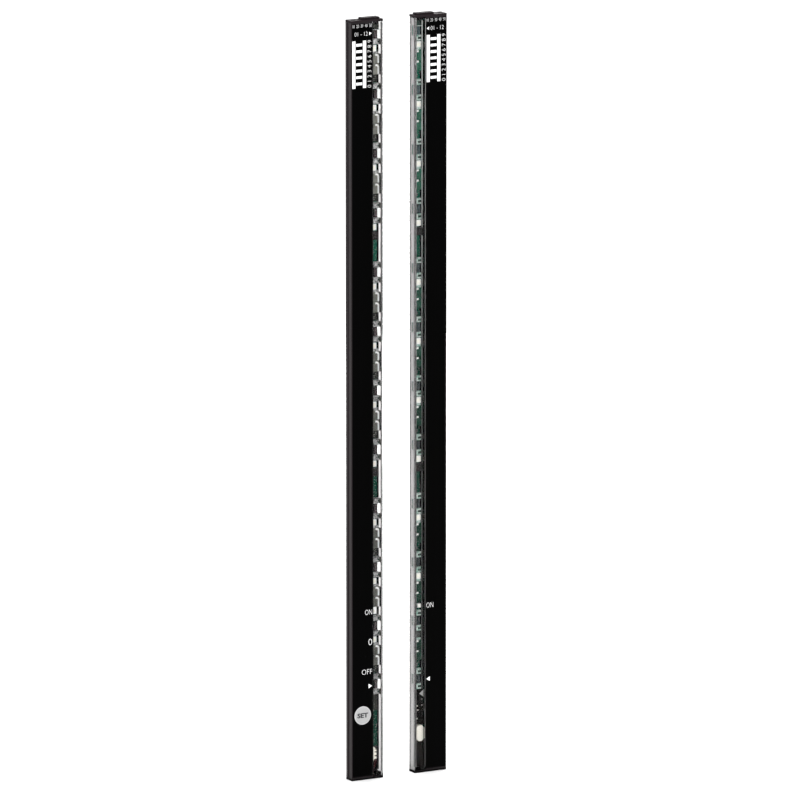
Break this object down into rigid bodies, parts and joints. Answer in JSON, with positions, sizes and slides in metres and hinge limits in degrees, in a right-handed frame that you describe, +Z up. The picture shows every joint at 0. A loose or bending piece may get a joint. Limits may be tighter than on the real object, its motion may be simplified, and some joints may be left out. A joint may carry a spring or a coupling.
{
  "type": "automation light grid",
  "caption": "Slim light grid for picking stations: a receiver bar and a sender bar, black aluminium channels with clear windows over beam optics, and a round teach key.",
  "frame": {"origin": "midway between the two bars, at mid depth, on the level of the undersides of the lower caps", "axes": "+Z up along the bars, front films face -Y, receiver at -X and sender at +X with their windows facing each other"},
  "size_m": [0.09, 0.0104, 0.6446],
  "materials": {
    "anodised_aluminium": "black anodised, satin",
    "printed_film": "black printed film, fine gloss",
    "clear_cover": "clear, polished",
    "milky_film": "translucent white, satin",
    "cap_plastic": "moulded, fine texture",
    "seal_rubber": "matt",
    "screw_steel": "black zinc",
    "circuit_board": "solder mask, satin",
    "connector_black": "moulded",
    "connector_white": "moulded nylon",
    "clear_lens": "clear, polished",
    "light_guide": "clear, faintly milky",
    "light_package": "moulded",
    "chip_epoxy": "moulded",
    "detector_epoxy": "cast",
    "emitter_epoxy": "cast, smoky",
    "lead_insulation": "satin",
    "key_plastic": "light grey, fine texture",
    "switch_plastic": "moulded"
  },
  "bodies": {
    "light_bars": {"receiver_housing": "anodised_aluminium", "receiver_front_film": "printed_film", "receiver_window_cover": "clear_cover", "receiver_side_diffuser": "milky_film", "receiver_top_cap": "cap_plastic", "receiver_bottom_cap": "cap_plastic", "receiver_top_gasket": "seal_rubber", "receiver_bottom_gasket": "seal_rubber", "receiver_cable_grommet": "seal_rubber", "receiver_upper_board": "circuit_board", "receiver_middle_board": "circuit_board", "receiver_lower_board": "circuit_board", "receiver_board_links": "connector_black", "receiver_beam_lenses": "clear_lens", "receiver_job_lights": "light_package", "receiver_light_guides": "light_guide", "receiver_status_lights": "light_package", "receiver_control_chips": "chip_epoxy", "receiver_terminal_header": "connector_white", "receiver_terminal_plug": "connector_white", "receiver_leads": "lead_insulation", "receiver_photodiodes": "detector_epoxy", "receiver_teach_switch": "switch_plastic", "sender_housing": "anodised_aluminium", "sender_front_film": "printed_film", "sender_window_cover": "clear_cover", "sender_side_diffuser": "milky_film", "sender_top_cap": "cap_plastic", "sender_bottom_cap": "cap_plastic", "sender_top_gasket": "seal_rubber", "sender_bottom_gasket": "seal_rubber", "sender_cable_grommet": "seal_rubber", "sender_upper_board": "circuit_board", "sender_middle_board": "circuit_board", "sender_lower_board": "circuit_board", "sender_board_links": "connector_black", "sender_beam_lenses": "clear_lens", "sender_job_lights": "light_package", "sender_light_guides": "light_guide", "sender_status_lights": "light_package", "sender_control_chips": "chip_epoxy", "sender_terminal_header": "connector_white", "sender_terminal_plug": "connector_white", "sender_leads": "lead_insulation", "sender_emitters": "emitter_epoxy"},
    "teach_key": {"receiver_teach_key": "key_plastic", "receiver_teach_plunger": "switch_plastic"}
  },
  "joints": [
    {"name": "teach_press", "type": "slide", "parent": "light_bars", "child": "teach_key", "axis": [0, 1, 0], "range_m": [0, 0.00035], "stiffness_N_per_m": 5000}
  ]
}
